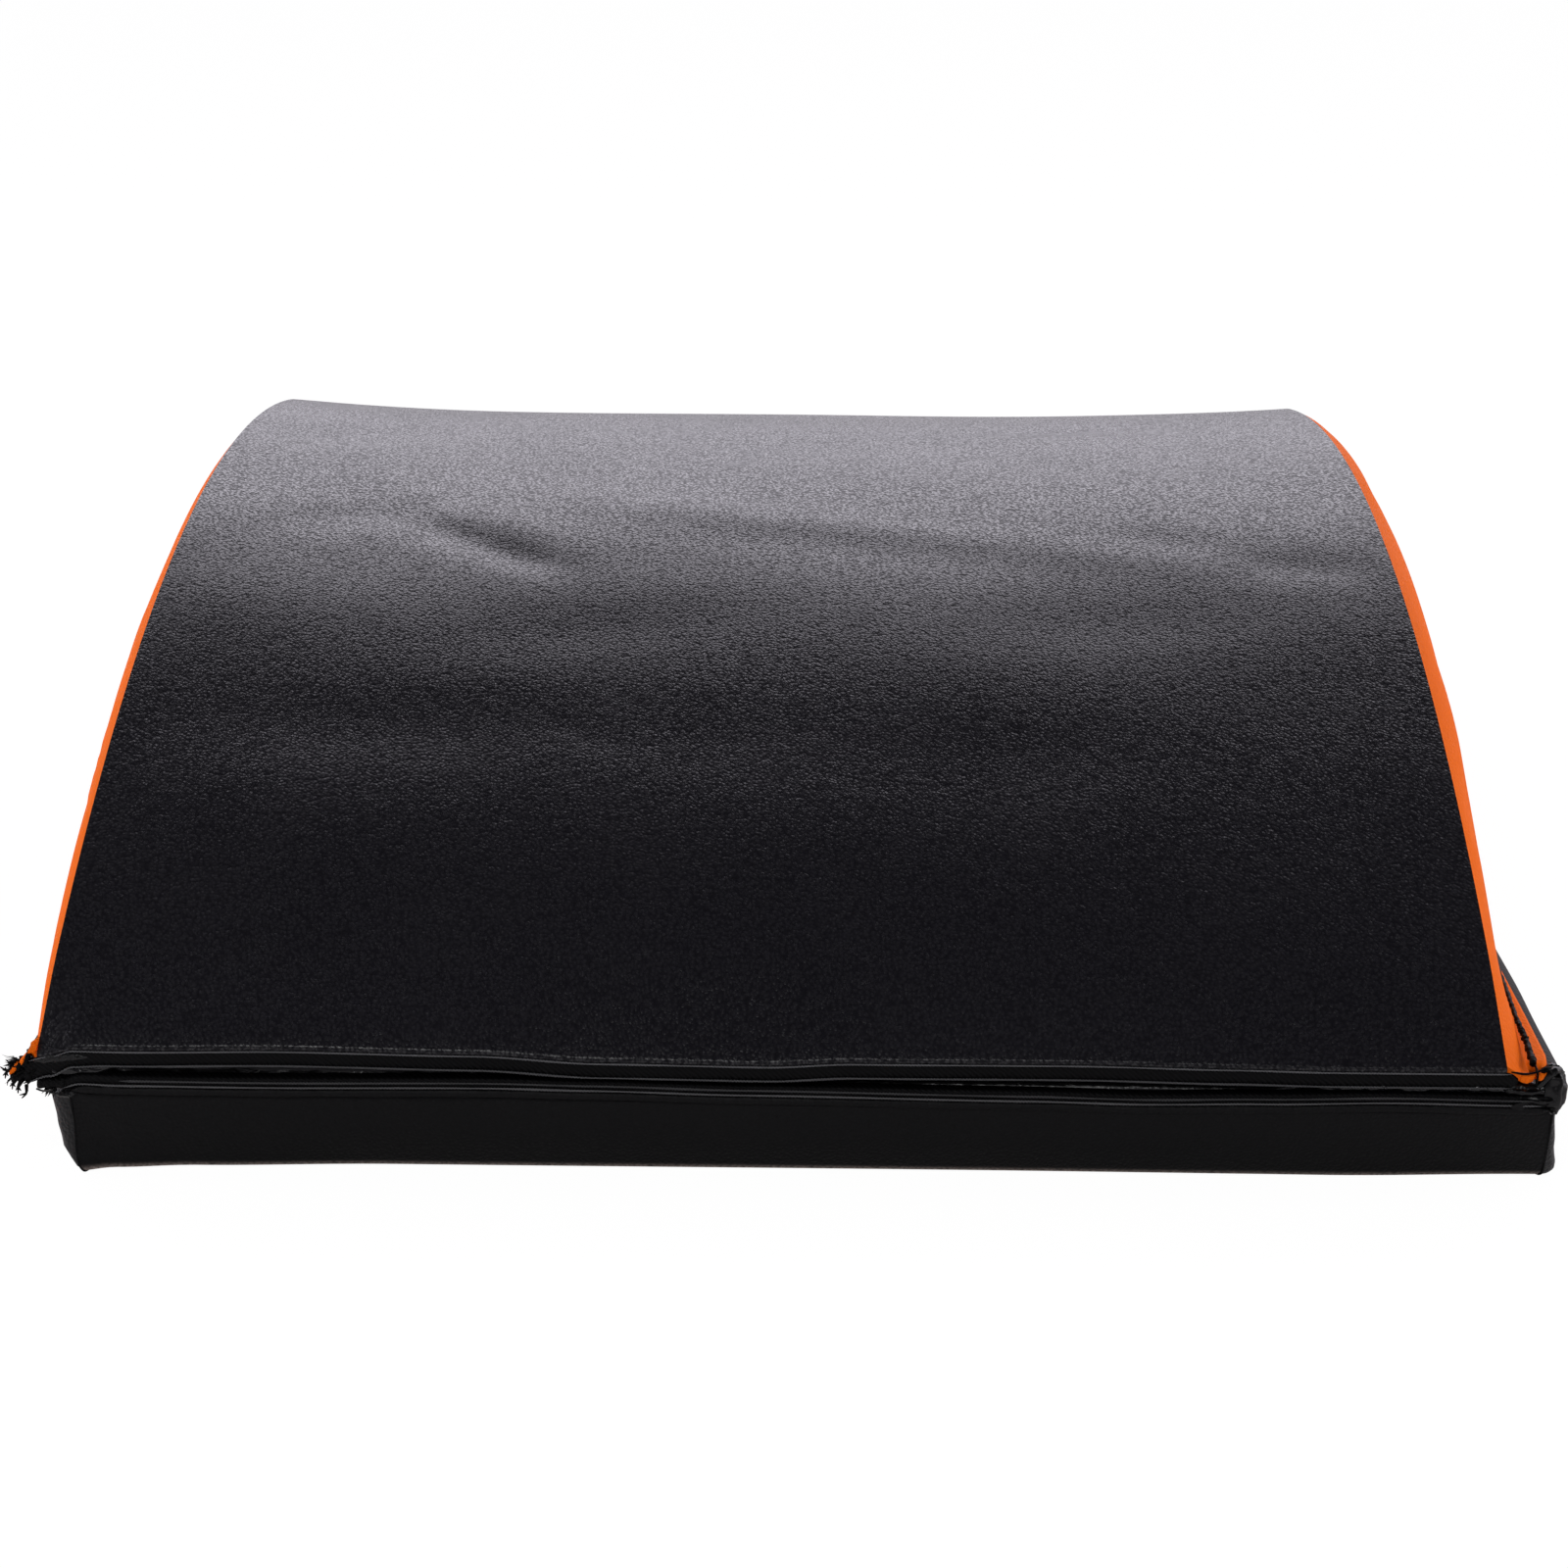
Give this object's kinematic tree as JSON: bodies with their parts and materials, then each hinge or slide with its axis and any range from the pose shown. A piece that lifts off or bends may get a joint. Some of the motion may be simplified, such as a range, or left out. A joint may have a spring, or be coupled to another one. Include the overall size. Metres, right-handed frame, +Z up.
{
  "type": "folding ab mat",
  "caption": "Arched foam exercise pad in a black cover with orange sides, lying folded on its flat seat pad, hinged along the front edge.",
  "frame": {"origin": "on the floor, under the middle of the folded mat's bounding box", "axes": "+Z up, +Y from the hinged front edge to the rear, +X to the right as seen from the front"},
  "size_m": [0.3216, 0.38, 0.0944],
  "materials": {
    "black_leathercloth": "grained, satin",
    "orange_leathercloth": "fine grain, satin",
    "edge_tape": "ribbed weave",
    "foam": "matte"
  },
  "bodies": {
    "arch_pad": {"arch_foam_core": "foam", "arch_top_cover": "black_leathercloth", "arch_left_side": "orange_leathercloth", "arch_right_side": "orange_leathercloth", "arch_underside_panel": "orange_leathercloth", "arch_front_tape": "edge_tape", "arch_rear_tape": "edge_tape", "hinge_upper_leaf": "edge_tape"},
    "seat_pad": {"seat_foam_core": "foam", "seat_front_wall": "black_leathercloth", "seat_rear_wall": "black_leathercloth", "seat_left_wall": "black_leathercloth", "seat_right_wall": "black_leathercloth", "seat_floor_panel": "black_leathercloth", "seat_inner_panel": "black_leathercloth", "seat_front_tape": "edge_tape", "seat_rear_tape": "edge_tape", "seat_left_piping": "black_leathercloth", "seat_right_piping": "black_leathercloth", "hinge_lower_leaf": "edge_tape"}
  },
  "joints": [
    {"name": "seat_pad_fold", "type": "hinge", "parent": "arch_pad", "child": "seat_pad", "pos_m": [0, -0.1903, 0.0215], "axis": [-1, 0, 0], "range_deg": [0, 180]}
  ]
}
